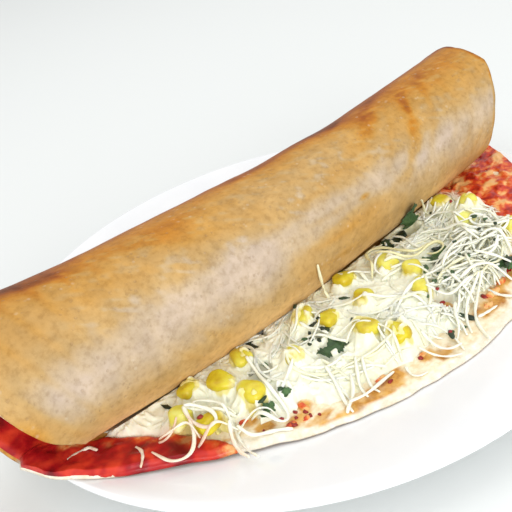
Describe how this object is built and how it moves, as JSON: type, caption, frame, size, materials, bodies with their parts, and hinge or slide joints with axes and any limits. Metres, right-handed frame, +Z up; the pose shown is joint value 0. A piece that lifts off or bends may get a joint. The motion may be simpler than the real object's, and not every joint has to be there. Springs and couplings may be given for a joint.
{
  "type": "sweet corn cheese dosa on plate",
  "caption": "Crisp golden dosa rolled into a long open tube, its loose flap spread with sauce, grated cheese, sweet corn and herbs, on a round white plate.",
  "frame": {"origin": "middle of the flat face under the plate, on the surface that the plate stands on", "axes": "+X along the rolled dosa towards its end on the right, -Y towards the open flap with the toppings, +Z up"},
  "size_m": [0.2756, 0.26, 0.0795],
  "materials": {
    "plate": "glossy white glaze",
    "dosa": "crisp golden brown batter with a fine browned lace",
    "sauce": "wet glossy red tomato and chilli sauce",
    "cheese": "soft ivory grated cheese, partly melted",
    "corn": "moist yellow sweet corn",
    "herb": "dark green chopped coriander leaf"
  },
  "bodies": {
    "root": {"plate": "plate", "dosa": "dosa", "sauce": "sauce", "cheese": "cheese", "corn_01": "corn", "corn_02": "corn", "corn_03": "corn", "corn_04": "corn", "corn_05": "corn", "corn_06": "corn", "corn_07": "corn", "corn_08": "corn", "corn_09": "corn", "corn_10": "corn", "corn_11": "corn", "corn_12": "corn", "corn_13": "corn", "corn_14": "corn", "corn_15": "corn", "corn_16": "corn", "corn_17": "corn", "corn_18": "corn", "corn_19": "corn", "corn_20": "corn", "leaf_1": "herb", "leaf_2": "herb", "leaf_3": "herb", "leaf_4": "herb", "leaf_5": "herb", "leaf_6": "herb", "leaf_7": "herb", "leaf_8": "herb", "leaf_9": "herb"}
  },
  "joints": []
}
